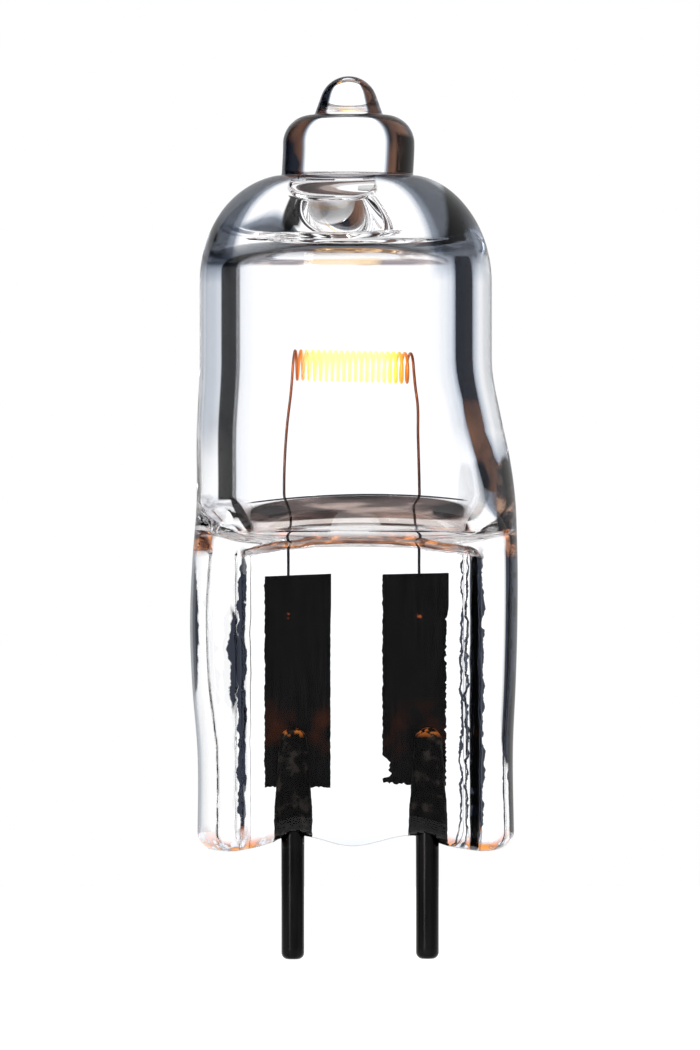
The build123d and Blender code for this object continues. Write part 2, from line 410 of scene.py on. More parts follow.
# %% Rows of the gas space
turn = np.linspace(0, np.pi / 2, 40)
rows_floor = floor_z + floor_rise * (1 - np.cos(turn))
rows_bore = np.linspace(rows_floor[-1], round_from, 40)[1:]
bore_rows = np.concatenate([rows_floor, rows_bore])
bore_share = np.concatenate([np.sin(turn), np.ones(len(rows_bore))])
bore_angles = np.linspace(-np.pi / 2, np.pi / 2, 73)
print(len(bore_rows), "rows in the bore,", len(bore_angles), "columns to a side")


def bore_points(face):
    """Points of the bore's front or back, row by row from its floor."""
    sheet = []
    for row, share in zip(bore_rows, bore_share):
        left = left_edge(row) + wall + floor_corner * (1 - share)
        right = right_edge(row) - wall - floor_corner * (1 - share)
        x = (left + right) / 2 + (right - left) / 2 * np.sin(bore_angles)
        depth = np.maximum(cavity_r * share * np.cos(bore_angles), 0)
        sheet.append(np.stack([x, seal_y + face * depth, np.full(len(x), row)], axis=-1))
    return np.array(sheet)


# %% The crown, and the gas space as an inside-out shell
crown_centre = crown_top - crown_r
corner_r = cavity_r - crown_corner
corner_z = crown_centre + math.sqrt((crown_r - crown_corner) ** 2 - corner_r**2)
lean = math.degrees(math.acos(corner_r / (crown_r - crown_corner)))
fillet_r = hole_foot_r + hole_fillet
hole_lean = math.degrees(math.acos(fillet_r / crown_r))
hole_foot_z = crown_centre + crown_r * math.sin(math.radians(hole_lean))
hole_head_z = crown_top + hole_rise
crown = np.concatenate(
    [
        line((cavity_r, round_from), (cavity_r, corner_z), 8),
        arc(corner_r, corner_z, crown_corner, crown_corner, 0, lean, 18),
        arc(0, crown_centre, crown_r, crown_r, lean, hole_lean, 18)[1:],
        arc(fillet_r, hole_foot_z + hole_fillet, hole_fillet, hole_fillet, 270, 220, 8)[1:],
        arc(hole_head_r - hole_round, hole_head_z - hole_round, hole_round, hole_round, 40, 88, 10),
        [(0.0, hole_head_z)],
    ]
)
off_axis = hole_shift * np.clip((corner_r - crown[:, 0]) / (corner_r - hole_foot_r - hole_fillet), 0, 1)
gas_front = np.concatenate([bore_points(-1), turned(crown, -1, bore_angles, off_axis)])
gas_back = np.concatenate([bore_points(1), turned(crown, 1, bore_angles, off_axis)])
gas_points, gas_faces = skin(gas_front, gas_back)
inside = (gas_points, gas_faces[:, ::-1])
gas_low, gas_high = gas_points[:, 2].min(), gas_points[:, 2].max()
print("gas space from", round(float(gas_low), 2), "to", round(float(gas_high), 2), "mm")

# %% [markdown]
# ## Channels round the pins
# Quartz and metal shrink differently, so the glass never grips a pin: a rough air gap is left round each
# one and it widens to a mouth at the foot. Two rough trumpet shapes are cut out of the envelope with a
# Boolean modifier, which is simpler than leading the rows of the mesh round two holes.

# %% Sizes of the channels
pin_low, pin_high = node_box("left_pin")
pin_place = {name: float(np.mean([b[0] for b in node_box(name)])) for name in ("left_pin", "right_pin")}
channel_foot = -0.8
trumpet = [(channel_foot, 0.72), (0, 0.69), (0.6, 0.6), (1.6, 0.53), (2.6, 0.46), (3.3, 0.41)]
channel_r = curve_through(trumpet)
channel_gap = 0.04
channel_top = pin_high[2] + channel_gap
channel_dome = 0.42
channel_rough = 0.025
channel_flutes = 0.012
flute_length = 2.2
swirl = 0.9
print("channels end", channel_gap, "mm above the pins, at", round(channel_top, 2), "mm")


# %% Shape of a channel
def tube_shell(place, radius, height, around, flat_at=np.inf):
    """A shell round an upright axis, from its radius at each height and angle, with a flat at the back."""
    x = place + radius * np.cos(around)
    y = np.minimum(radius * np.sin(around), flat_at)
    z = np.broadcast_to(height, x.shape)
    return np.stack([x, y, z], axis=-1).reshape(-1, 3), grid_faces(*x.shape)


def channel(place, seed):
    """A rough trumpet round one pin, closed at both ends."""
    turn = np.linspace(0, np.pi / 2, 12)[1:]
    dome_from = channel_top - channel_dome
    rising = np.linspace(channel_foot, dome_from, 66)
    height = np.concatenate([[channel_foot], rising, dome_from + channel_dome * np.sin(turn)])
    radius = channel_r(height)
    radius[-len(turn) :] = channel_r(dome_from) * np.cos(turn)
    radius[[0, -1]] = 0
    around = np.linspace(0, 2 * np.pi, 41)[:-1]
    lengthwise = height[:, None] + swirl * np.sin(around)
    rough = 1 + channel_rough * ripple(lengthwise, seed, waves=6, longest=1.1, shortest=0.2)
    at = flute_length * around / np.pi
    flutes = ripple(at, seed + 1, waves=4, longest=flute_length, shortest=0.55)
    rough = rough + channel_flutes * flutes
    return tube_shell(place, radius[:, None] * rough, height[:, None], around)


# %% Cut the channels
envelope_mesh = make_mesh("quartz_envelope", [outside])
cut_mesh = make_mesh("pin_channels", [channel(x, 31 + k) for k, x in enumerate(pin_place.values())])
solid = put("envelope_work", envelope_mesh)
cutter = put("channel_work", cut_mesh)
cut = solid.modifiers.new("channels", "BOOLEAN")
cut.operation = "DIFFERENCE"
cut.solver = "EXACT"
cut.object = cutter
bpy.context.view_layer.update()
cut_result = bpy.data.meshes.new_from_object(solid.evaluated_get(bpy.context.evaluated_depsgraph_get()))
for work in (solid, cutter):
    bpy.data.objects.remove(work)
print("envelope with channels:", len(cut_result.polygons), "faces")

# %% Join the outside and the gas space
skin_slot, bore_slot, channel_slot = range(3)
channel_reach = 1.06
sharp_from = math.radians(50)
joined = bmesh.new()
joined.from_mesh(cut_result)
outside_count = len(joined.faces)
gas_mesh = make_mesh("gas_space", [inside])
joined.from_mesh(gas_mesh)
for number, face in enumerate(joined.faces):
    x, y, z = np.array(face.calc_center_median()) / mm
    from_pin = min(math.hypot(x - place, y) for place in pin_place.values())
    face.material_index = skin_slot
    if number >= outside_count:
        face.material_index = bore_slot
    elif from_pin < channel_reach * channel_r(z) and z < channel_top:
        face.material_index = channel_slot
envelope_mesh = bpy.data.meshes.new("quartz_envelope")
joined.to_mesh(envelope_mesh)
joined.free()
envelope_mesh.shade_smooth()
envelope_mesh.set_sharp_from_angle(angle=sharp_from)
envelope = make_piece("quartz_envelope", envelope_mesh, "glass_envelope")

# %% [markdown]
# ## The foils
# Each foil is a ribbon of molybdenum, thin enough to give as the quartz cools round it. Its edges are
# etched and look slightly torn. A plane with a Solidify modifier would be quick, but torn edges need their
# own outline, so each foil is a grid whose left and right edges wander.

# %% Sizes of the torn edges
foil_notes = {
    "left_foil": {"tear": 0.012, "torn_right": 0.02, "bite": 0.0, "flap": 0.0, "head": 0.13},
    "right_foil": {"tear": 0.014, "torn_right": 0.09, "bite": 0.22, "flap": 0.12, "head": 0.07},
}
# Shares of a foil's height from its foot
torn_below = 0.85
torn_fade = 0.1
bite_from = 0.035
bite_to = 0.16
foot_share = 0.06
head_from = 0.9
head_share = 0.1
bite_rise = 0.02
bite_fall = 0.05
# How deep the tears are, and how much they vary
foot_ragged = 0.03
fray_least = 0.6
fray_more = 0.5
bite_rough = 0.2
head_slope = 0.6
print("the right edge of a foil is torn below", torn_below, "of its height")


# %% Outline of a foil
def foil_shell(node, seed):
    """A thin ribbon inside its solid's box, with worn edges and a ragged foot."""
    low, high = node_box(node)
    note = foil_notes[node]
    share = np.concatenate([[0], np.linspace(0, 1, 120), [1]])
    height = low[2] + share * (high[2] - low[2])
    torn = soft_step((torn_below - share) / torn_fade)
    left = low[0] + note["tear"] * (1 + ripple(height, seed, waves=6, longest=1.6, shortest=0.18))
    frayed = np.abs(ripple(height, seed + 1, waves=7, longest=1.2, shortest=0.14))
    right = high[0] - note["tear"] - note["torn_right"] * torn * (fray_least + fray_more * frayed)
    bite = note["bite"] * soft_step((share - bite_from) / bite_rise)
    bite = bite * soft_step((bite_to - share) / bite_fall)
    left = left + bite * (1 + bite_rough * ripple(height, seed + 2, waves=4, longest=0.5, shortest=0.15))
    across = np.linspace(0, 1, 41)
    x = left[:, None] + across * (right - left)[:, None]
    ragged = foot_ragged * (1 + ripple(x[0], seed + 3, waves=6, longest=0.9, shortest=0.12))
    ragged = ragged + note["flap"] * (1 - across)
    cut = note["head"] * (1 - head_slope * across)
    near_foot = 1 - soft_step(share / foot_share)
    near_head = soft_step((share - head_from) / head_share)
    z = height[:, None] + ragged * near_foot[:, None] - cut * near_head[:, None]
    half = np.full(len(share), (high[1] - low[1]) / 2)
    half[[0, -1]] = 0
    y = (low[1] + high[1]) / 2 + np.zeros_like(x)
    front = np.stack([x, y - half[:, None], z], axis=-1)
    back = np.stack([x, y + half[:, None], z], axis=-1)
    return skin(front, back)


# %% Make the foils
foil_sharp = math.radians(40)
foils = []
for seed, node in ((41, "left_foil"), (51, "right_foil")):
    ribbon = make_mesh(node + "_ribbon", [foil_shell(node, seed)])
    ribbon.set_sharp_from_angle(angle=foil_sharp)
    foils.append(make_piece("sealing_" + node, ribbon, node))

# %% [markdown]
# ## The pins
# Each pin is a piece of drawn molybdenum wire with a rounded outer end. The sealed end was welded to the
# foil, which spread it a little and pressed one side flat. A turned profile gives the pin, and the points
# that would pass through the foil are moved back onto its face.

# %% Turn the pins
pin_r = 0.34
weld_r = (pin_high[0] - pin_low[0]) / 2
tip_round = 0.2
head_round = 0.34
weld_face = pin_high[1]
drawn_depth = 0.012
rough_from = 1.5
tip = arc(pin_r - tip_round, pin_low[2] + tip_round, tip_round, tip_round, -90, 0, 8)
head = arc(weld_r - head_round, pin_high[2] - head_round, head_round, head_round, 4, 90, 8)
shaft = np.stack([np.full(24, pin_r), np.linspace(tip[-1, 1], 0, 26)[1:-1]], axis=-1)
sealed = np.linspace((pin_r, 0), head[0], 32)[:-1]
pin_profile = np.concatenate([[[0, pin_low[2]]], tip, shaft, sealed, head, [[0, pin_high[2]]]])


def pin_shell(place, seed):
    """A turned pin with faint drawing marks, flattened where it is welded to the foil."""
    around = np.linspace(0, 2 * np.pi, 49)[:-1]
    height = pin_profile[:, 1:]
    sealed_in = soft_step(height / rough_from)
    drawn = ripple(height + np.sin(around), seed, waves=5, longest=0.9, shortest=0.2)
    rough = 1 - drawn_depth * sealed_in * (1 + drawn)
    return tube_shell(place, pin_profile[:, :1] * rough, height, around, weld_face)


pins = []
for seed, (node, place) in enumerate(pin_place.items(), start=61):
    rod = make_mesh(node + "_wire", [pin_shell(place, seed)])
    pins.append(make_piece("contact_" + node, rod, node))

# %% [markdown]
# ## The filament
# One tungsten wire makes the coil and both legs. A Screw modifier could make the coil, but the legs have to
# leave it along the wire's own direction, so the whole centre line is written as points, and a round
# section is carried along it. The glow spreads over the hot turns, which are a little thicker for it.

# %% Centre line of the wire
wire_r = 0.0425
glow_spread = 0.01
coil_turns = 20.5
coil_pitch = 0.172
coil_half = coil_turns * coil_pitch / 2
coil_r = 0.4225
coil_x = -0.19
coil_z = 14.36
coil_tilt = math.radians(1.4)
leg_y = 0.4275
leg_foot = float(node_box("filament")[0][2])
points_per_turn = 40
angle = np.linspace(0, 2 * np.pi * coil_turns, int(coil_turns * points_per_turn) + 1)
along = (angle / (2 * np.pi) - coil_turns / 2) * coil_pitch
coil = np.stack(
    [
        coil_x + along * math.cos(coil_tilt) + coil_r * np.sin(angle) * math.sin(coil_tilt),
        seal_y + coil_r * np.cos(angle),
        coil_z - along * math.sin(coil_tilt) + coil_r * np.sin(angle) * math.cos(coil_tilt),
    ],
    axis=-1,
)
left_bends = [
    (-2.14, leg_y, leg_foot),
    (-2.14, leg_y, 9.3),
    (-2.2, leg_y + 0.02, 10.6),
    (-2.12, 0.6, 12.6),
    (-2.0, 0.76, 13.7),
]
right_bends = [
    (1.62, -0.06, 13.75),
    (1.68, -0.02, 13.3),
    (1.72, 0.2, 12.3),
    (1.78, leg_y, 10.6),
    (1.76, leg_y, 9.3),
    (1.76, leg_y, leg_foot),
]
print("coil is", round(float(np.ptp(coil[:, 0])), 2), "mm long, legs start at", round(leg_foot, 2), "mm")


# %% Carry a round section along the wire
def smooth_path(points, step):
    """Points close together on a smooth curve through a few bends."""
    points = np.array(points)
    reach = np.concatenate([[0], np.cumsum(np.linalg.norm(np.diff(points, axis=0), axis=1))])
    slope = np.gradient(points, reach, axis=0)
    at = np.linspace(0, reach[-1], int(reach[-1] / step) + 1)
    axes = [smooth_between(reach, points[:, axis], slope[:, axis], at) for axis in range(3)]
    return np.stack(axes, axis=-1)


def wire_shell(path, radii, count):
    """A tube round a path, with its ends drawn to a point in their own plane."""
    ahead = np.gradient(path, axis=0)
    ahead /= np.linalg.norm(ahead, axis=1)[:, None]
    side = np.cross(ahead[0], (1.0, 0.0, 0.0))
    around = np.linspace(0, 2 * np.pi, count + 1)[:-1]
    rings = [np.repeat(path[:1], count, axis=0)]
    for point, way, radius in zip(path, ahead, radii):
        side = side - way * np.dot(side, way)
        side /= np.linalg.norm(side)
        other = np.cross(way, side)
        rings.append(point + radius * (np.cos(around)[:, None] * side + np.sin(around)[:, None] * other))
    rings.append(np.repeat(path[-1:], count, axis=0))
    return np.concatenate(rings), grid_faces(len(rings), count)


# %% The whole wire: left leg, coil and right leg
leg_step = 0.06
hot_fade = 0.5
hot_drop = 0.6
wire_sides = 10
left_leg = smooth_path(left_bends + [tuple(coil[0])], leg_step)[:-1]
right_leg = smooth_path([tuple(coil[-1])] + right_bends, leg_step)[1:]
wire = np.concatenate([left_leg, coil, right_leg])
from_end = coil_half - np.abs(wire[:, 0] - coil_x)
hot = soft_step(from_end / hot_fade) * (wire[:, 2] > coil_z - hot_drop)
wire_mesh = make_mesh("tungsten_wire", [wire_shell(wire, wire_r + glow_spread * hot, wire_sides)])
filament = make_piece("coiled_filament", wire_mesh, "filament")

# %% [markdown]
# ## Finishes
# Each material is a Principled shader with a few nodes before it. Values that are the same all over are set
# on the shader itself. Only what changes from place to place, such as grain or heat colours, comes from
# nodes.


# %% Helpers for materials
def fill(node, inputs):
    """Sets the inputs of a node, or links them where another node gives the value."""
    for socket, value in dict(inputs).items():
        if isinstance(value, bpy.types.NodeSocket):
            node.id_data.links.new(value, node.inputs[socket])
        else:
            node.inputs[socket].default_value = value


def node_adder(tree):
    """A function that adds a node to a tree, with its inputs and settings."""

    def add(kind, inputs=(), **settings):
        node = tree.nodes.new("ShaderNode" + kind)
        for key, value in settings.items():
            setattr(node, key, value)
        fill(node, inputs)
        return node

    return add


def new_material(name):
    """A material, its Principled shader, a function that adds nodes, and the place on the object."""
    material = bpy.data.materials.new(name)
    material.use_nodes = True
    add = node_adder(material.node_tree)
    where = add("TexCoord").outputs["Object"]
    return material, material.node_tree.nodes["Principled BSDF"], add, where


# %% Helpers for values
def maths(add, operation, *values):
    """What a Math node makes of a few values."""
    return add("Math", dict(enumerate(values)), operation=operation).outputs[0]


def times(add, first, second):
    """The product of two values."""
    return maths(add, "MULTIPLY", first, second)


def add_share(add, value, share, amount):
    """A value with an amount added to it where the share is 1."""
    return maths(add, "MULTIPLY_ADD", share, amount, value)


def fade(add, value, start, end, first=0.0, last=1.0, **settings):
    """Runs from first to last while the value runs from start to end, and stays level beyond."""
    limits = {"From Min": start, "From Max": end, "To Min": first, "To Max": last}
    return add("MapRange", {"Value": value, **limits}, **settings).outputs["Result"]


def coordinate(add, vector, axis):
    """One coordinate of a place or a direction."""
    return add("SeparateXYZ", {"Vector": vector}).outputs[axis]


def distance_from(add, value, place_mm):
    """How far a coordinate is from a place given in millimetres. The distance is in metres."""
    return maths(add, "ABSOLUTE", maths(add, "SUBTRACT", value, place_mm * mm))


def height_zones(add, place):
    """Gives a function that is 1 between two heights in millimetres and fades to 0 beyond them."""
    height = coordinate(add, place, "Z")

    def zone(low, low_full, high_full, high):
        rise = fade(add, height, low * mm, low_full * mm)
        fall = fade(add, height, high * mm, high_full * mm)
        return times(add, rise, fall)

    return zone


# %% Helpers for colours and patterns
def ramp(add, factor, stops):
    """A colour ramp with (place, colour) stops."""
    node = add("ValToRGB", {"Fac": factor})
    bands = node.color_ramp.elements
    while len(bands) < len(stops):
        bands.new(1.0)
    for band, (place, colour) in zip(bands, stops):
        band.position = place
        band.color = (*colour, 1.0)
    return node.outputs["Color"]


def shares(add, factor, stops):
    """A ramp of plain values."""
    return ramp(add, factor, [(at, (value,) * 3) for at, value in stops])


def blend(add, share, first, second):
    """A mix of two colours."""
    return add("Mix", {0: share, 6: first, 7: second}, data_type="RGBA").outputs[2]


def lay_over(add, tint_and_painted_light, layers):
    """A colour with others laid over it one after another, each with its own share."""
    for share, colour in layers:
        tint_and_painted_light = blend(add, share, tint_and_painted_light, colour)
    return tint_and_painted_light


def noise(add, place, scale, detail):
    """A noise pattern, with its scale in features per metre."""
    return add("TexNoise", {"Vector": place, "Scale": scale, "Detail": detail}).outputs["Fac"]


# %% [markdown]
# ### Clear quartz
# Fire-polished quartz is nearly perfectly clear and bends light a little less than window glass. Where its
# outside turns away to the left or right, it shows what lies beside the white panel, which is dark and
# warm. A Layer Weight node on a flattened normal gives that darkening from every side, as shade painted into
# the glass's colour. Each stretch of the bulb has its own band, because a solid stub, a hollow wall and a
# thick rib bend light differently.

# %% Quartz
clear = (0.985, 0.99, 1.0, 1.0)
mirror_tint = (0.35, 0.35, 0.35, 1.0)
quartz_ior = 1.46
flattened = (1.0, 1.0, 0.3)


def quartz_finish(name):
    """Clear quartz, with the same four things as any new material."""
    material, shader, add, where = new_material(name)
    fill(shader, {"Base Color": clear, "Specular Tint": mirror_tint})
    fill(shader, {"Transmission Weight": 1.0, "IOR": quartz_ior, "Roughness": 0.0})
    return material, shader, add, where


quartz, shader, add, place = quartz_finish("clear_quartz")
across, depth, upright = (coordinate(add, place, axis) for axis in "XYZ")
zone = height_zones(add, place)
normal = add("NewGeometry").outputs["Normal"]
level = add("VectorMath", {0: normal, 1: flattened}, operation="MULTIPLY").outputs[0]
level = add("VectorMath", {0: level}, operation="NORMALIZE").outputs[0]
facing = add("LayerWeight", {"Blend": 0.5, "Normal": level}).outputs["Facing"]
to_right = coordinate(add, level, "X")
print("quartz bends light by an index of", quartz_ior)

# %% Quartz: bands of painted shade at the edges
# Each band has a lean to the right, stops from face-on (0) to edge-on (1), and the heights it lies between.
edge_shade_bands = {
    "rims of the pinch": (0.0, [(0.7, 0), (0.8, 0.7), (1, 0.9)], (-1.0, 0.0, 9.4, 9.8)),
    "thick flank": (0.4, [(0.6, 0), (0.68, 0.9), (0.8, 0.985), (1, 0.97)], (9.4, 9.8, 11.4, 12.4)),
    "round wall": (
        0.06,
        [(0.26, 0), (0.34, 0.4), (0.5, 0.4), (0.58, 0.24), (0.9, 0.32), (1, 0.6)],
        (11.6, 12.6, 16.8, 17.6),
    ),
    "right wall": (
        0.4,
        [(0.57, 0), (0.64, 0.8), (0.8, 0.85), (0.88, 0.4), (0.95, 0)],
        (10.6, 12.0, 16.8, 17.6),
    ),
    "dome": (
        0.13,
        [(0.24, 0), (0.3, 0.9), (0.36, 0.985), (0.7, 0.985), (0.85, 0.6), (0.95, 0.1)],
        (16.8, 17.6, 19.7, 20.0),
    ),
    "stub and tip": (
        0.06,
        [(0.19, 0), (0.225, 0.9), (0.245, 0.99), (0.265, 1), (0.6, 1), (0.78, 0.93), (1, 0.5)],
        (19.7, 20.0, 40.0, 41.0),
    ),
}
print("dark bands:", ", ".join(edge_shade_bands))

# %% Quartz: the painted shade of the edges, in cool greys and a warm brown
cool_greys = [
    (0.0, clear[:3]),
    (0.5, (0.42, 0.47, 0.55)),
    (0.9, (0.065, 0.083, 0.12)),
    (1.0, (0.0003, 0.0004, 0.0008)),
]
warm_shade_brown = (0.06, 0.016, 0.006, 1.0)
painted_edge_shade = 0.0
for rightward, stops, span in edge_shade_bands.values():
    band = shares(add, add_share(add, facing, to_right, rightward), stops)
    painted_edge_shade = add_share(add, painted_edge_shade, band, zone(*span))
tint_and_painted_light = ramp(add, painted_edge_shade, cool_greys)
# The warm brown in the flank and the stub is painted shade as well.
warm_flank = zone(9.2, 10.0, 12.4, 13.4)
warm_stub = zone(19.6, 20.0, 23.0, 24.0)
warm_shade_share = shares(add, noise(add, place, scale=420.0, detail=3.0), [(0.45, 0), (0.7, 0.6)])
warm_shade_share = times(add, warm_shade_share, maths(add, "ADD", warm_flank, warm_stub))
tint_and_painted_light = blend(add, times(add, warm_shade_share, painted_edge_shade), tint_and_painted_light, warm_shade_brown)
print("greys from clear to nearly black:", len(cool_greys))

# %% Quartz: coordinates for patches that wander, lean or bow
wander_mm = 0.2
drift = 0.35
lean_share = 0.54
bow = 0.02
middle_fade = 0.2
seen_from_back = 0.25
wander = noise(add, place, scale=2400.0, detail=5.0)
ragged = fade(add, wander, 0.0, 1.0, -wander_mm * mm, wander_mm * mm)
ragged_x = maths(add, "ADD", across, ragged)
drift_x = add_share(add, across, ragged, drift)
lean_in = add_share(add, across, upright, lean_share)
bowed_z = add_share(add, upright, times(add, across, across), bow / mm)
turned_away = shares(add, facing, [(0.06, 0), (0.2, 1)])
in_front = fade(add, depth, middle_fade * mm, -middle_fade * mm, seen_from_back)
print("ragged patches wander by up to", wander_mm, "mm")


def oval_patch(add, place_x, place_z, x, half_x, z, half_z, power):
    """1 inside an oval, seen from the front or the back, and 0 outside it.

    It has a middle and a half width across, and a middle and a half height. The power makes it squarer.
    """
    wide = times(add, distance_from(add, place_x, x), 1 / (half_x * mm))
    high = times(add, distance_from(add, place_z, z), 1 / (half_z * mm))
    reach = maths(add, "ADD", maths(add, "POWER", wide, power), maths(add, "POWER", high, power))
    return fade(add, reach, 1.1, 0.75)


# %% Quartz: painted shade on the seat above the pinch, and on the flanks beside it
# The brown, the grey and the dark lines here are all painted shade.
streaked = add("Mapping", {"Vector": place, "Scale": (0.35, 1.0, 2.6)}).outputs["Vector"]
streaks = noise(add, streaked, scale=900.0, detail=3.0)
seat_shade_stops = [(0.38, (0.002, 0.0015, 0.0015)), (0.52, (0.02, 0.012, 0.011)), (0.64, (0.2, 0.13, 0.11))]
flank_shade_stops = [(0.4, (0.0008, 0.0007, 0.0009)), (0.56, (0.008, 0.004, 0.003)), (0.68, (0.16, 0.06, 0.03))]
seat_painted_shade = ramp(add, streaks, seat_shade_stops)
flank_painted_shade = ramp(add, streaks, flank_shade_stops)
flank_painted_grey = ramp(add, streaks, [(0.4, (0.25, 0.25, 0.28)), (0.6, (0.85, 0.86, 0.9))])
painted_shade_line = (0.002, 0.0018, 0.002, 1.0)
right_flank_shade = times(add, oval_patch(add, drift_x, upright, 4.2, 0.34, 10.5, 1.2, 2.5), turned_away)
seat_shade_layers = [
    (oval_patch(add, across, upright, -4.5, 0.45, 10.1, 0.5, 2.0), flank_painted_grey),
    (right_flank_shade, flank_painted_shade),
    (oval_patch(add, lean_in, upright, 1.71, 0.15, 9.97, 0.55, 2.0), painted_shade_line),
    (oval_patch(add, across, bowed_z, -0.3, 3.35, 10.2, 0.34, 4.0), seat_painted_shade),
    (oval_patch(add, drift_x, upright, -2.75, 0.45, 10.05, 0.2, 2.0), painted_shade_line),
    (oval_patch(add, drift_x, upright, 2.3, 0.45, 10.05, 0.2, 2.0), painted_shade_line),
    (oval_patch(add, across, bowed_z, -0.3, 3.25, 10.55, 0.025, 6.0), painted_shade_line),
]
tint_and_painted_light = lay_over(add, tint_and_painted_light, seat_shade_layers)
print("patches on the seat and flanks:", len(seat_shade_layers))

# %% Quartz: painted shade on the rough lines and edges of the pinch
# Painted lines on the left show less from the back, and painted edges show only where the glass turns away.
pinch_shade_marks = {
    "left step": (ragged_x, upright, -3.59, 0.13, 4.7, 4.3, 4.0),
    "left step, broad part": (ragged_x, upright, -3.84, 0.16, 5.7, 1.6, 2.0),
    "right step, inner line": (ragged_x, upright, 3.1, 0.04, 4.7, 4.3, 4.0),
    "right step": (ragged_x, upright, 3.4, 0.15, 4.6, 4.4, 4.0),
    "right edge": (drift_x, upright, 4.42, 0.38, 5.8, 3.4, 4.0),
    "left edge": (drift_x, upright, -4.98, 0.14, 6.45, 2.7, 2.0),
}
mark_painted_shade = (0.0015, 0.002, 0.004, 1.0)
for mark, mark_shape in pinch_shade_marks.items():
    patch = oval_patch(add, *mark_shape)
    patch = times(add, patch, turned_away) if "edge" in mark else patch
    patch = times(add, patch, in_front) if "left" in mark else patch
    tint_and_painted_light = blend(add, patch, tint_and_painted_light, mark_painted_shade)
print("marks on the pinch:", "; ".join(pinch_shade_marks))

# %% Quartz: glints of the coil on the pressed edges
sloping = shares(add, add("LayerWeight", {"Blend": 0.5}).outputs["Facing"], [(0.06, 0), (0.25, 1)])
sparkle = noise(add, place, scale=2600.0, detail=3.0)
pale_blue = (0.7, 0.74, 0.86)
outer_from = 1.9
outer_full = 2.5
head_stops = [(0.4, (0.03, 0.008, 0.005)), (0.54, (0.14, 0.03, 0.01)), (0.66, (0.85, 0.14, 0.02))]
foot_stops = [(0.42, pale_blue), (0.5, (0.2, 0.05, 0.015)), (0.6, (0.8, 0.12, 0.004))]
head_glint = ramp(add, sparkle, head_stops)
foot_glint = ramp(add, sparkle, foot_stops)
outward = fade(add, distance_from(add, across, 0.0), outer_from * mm, outer_full * mm)
foot_glint = blend(add, outward, (*pale_blue, 1.0), foot_glint)
web_head_zone = zone(8.7, 8.95, 9.3, 9.55)
foot_zone = zone(-1.0, -0.6, 0.2, 0.8)
glints = [
    (times(add, sloping, web_head_zone), head_glint),
    (times(add, sloping, foot_zone), foot_glint),
]
tint_and_painted_light = lay_over(add, tint_and_painted_light, glints)
print("edges with glints:", len(glints))

# %% Quartz: the waves that the jaws left
pressed_zone = zone(-4.0, -3.0, 8.8, 9.6)
relief = times(add, noise(add, place, scale=1600.0, detail=3.0), pressed_zone)
waves = add("Bump", {"Height": relief, "Strength": 0.06, "Distance": 0.05 * mm}).outputs["Normal"]
fill(shader, {"Base Color": tint_and_painted_light, "Normal": waves})
print(quartz.name, "has", len(quartz.node_tree.nodes), "nodes")

# %% [markdown]
# ### The bore and the channels
# The bore is as clear as the outside, but its floor has a painted brown reflection of the hot seal, and its
# crown a painted orange reflection of the coil. The channels round the pins are rough and painted nearly
# black as shade, with a painted spark of the coil's light at their heads.

# %% Bore
coil_glow_orange = (1.0, 0.55, 0.2)
bore_shade_blue = (0.84, 0.87, 0.94, 1.0)
glow_x = -0.3
glow_reach = 1.3
glow_near = 0.9
bore, shader, add, place = quartz_finish("clear_quartz_bore")
zone = height_zones(add, place)
floor_zone = zone(8.0, 9.0, floor_z, floor_z + floor_rise)
# Painted brown reflection of the hot seal on the floor of the bore.
floor_painted_reflection = times(add, noise(add, place, scale=900.0, detail=3.0), floor_zone)
tint_and_painted_light = ramp(add, floor_painted_reflection, [(0.0, clear[:3]), (0.15, (0.5, 0.36, 0.3)), (0.6, (0.85, 0.8, 0.78))])
# Painted shade, bluish, where the bore turns away.
bore_edge_shade = shares(add, add("LayerWeight", {"Blend": 0.5}).outputs["Facing"], [(0.25, 0), (0.7, 1)])
hole_stops = [(0.45, (0.97, 0.96, 0.97)), (0.58, (0.6, 0.42, 0.33)), (0.66, coil_glow_orange)]
coil_light = ramp(add, noise(add, place, scale=900.0, detail=3.0), hole_stops)
crown_stops = [(0.4, (0.1, 0.08, 0.09)), (0.52, (0.3, 0.22, 0.2)), (0.62, (0.9, 0.8, 0.74))]
crown_shade = ramp(add, noise(add, place, scale=700.0, detail=3.0), crown_stops)
# A painted orange reflection of the coil's glow in the middle of the crown.
sideways = distance_from(add, coordinate(add, place, "X"), glow_x)
crown_glow_share = fade(add, sideways, glow_reach * mm, glow_near * mm)
crown_glow_share = times(add, crown_glow_share, zone(corner_z + 0.4, corner_z + 0.55, crown_top, crown_top + 0.05))
bore_layers = [
    (bore_edge_shade, bore_shade_blue),
    (zone(hole_head_z - 0.2, hole_head_z - 0.1, 30.0, 31.0), coil_light),
    (zone(corner_z + 0.3, corner_z + 0.5, crown_top - 0.12, crown_top - 0.06), crown_shade),
    (times(add, crown_glow_share, 0.8), (*coil_glow_orange, 1.0)),
]
fill(shader, {"Base Color": lay_over(add, tint_and_painted_light, bore_layers)})
print(bore.name, "has", len(bore.node_tree.nodes), "nodes")

# %% Channels
spark_orange = (0.9, 0.26, 0.04, 1.0)
channels, shader, add, place = new_material("painted_shade_channel")
zone = height_zones(add, place)
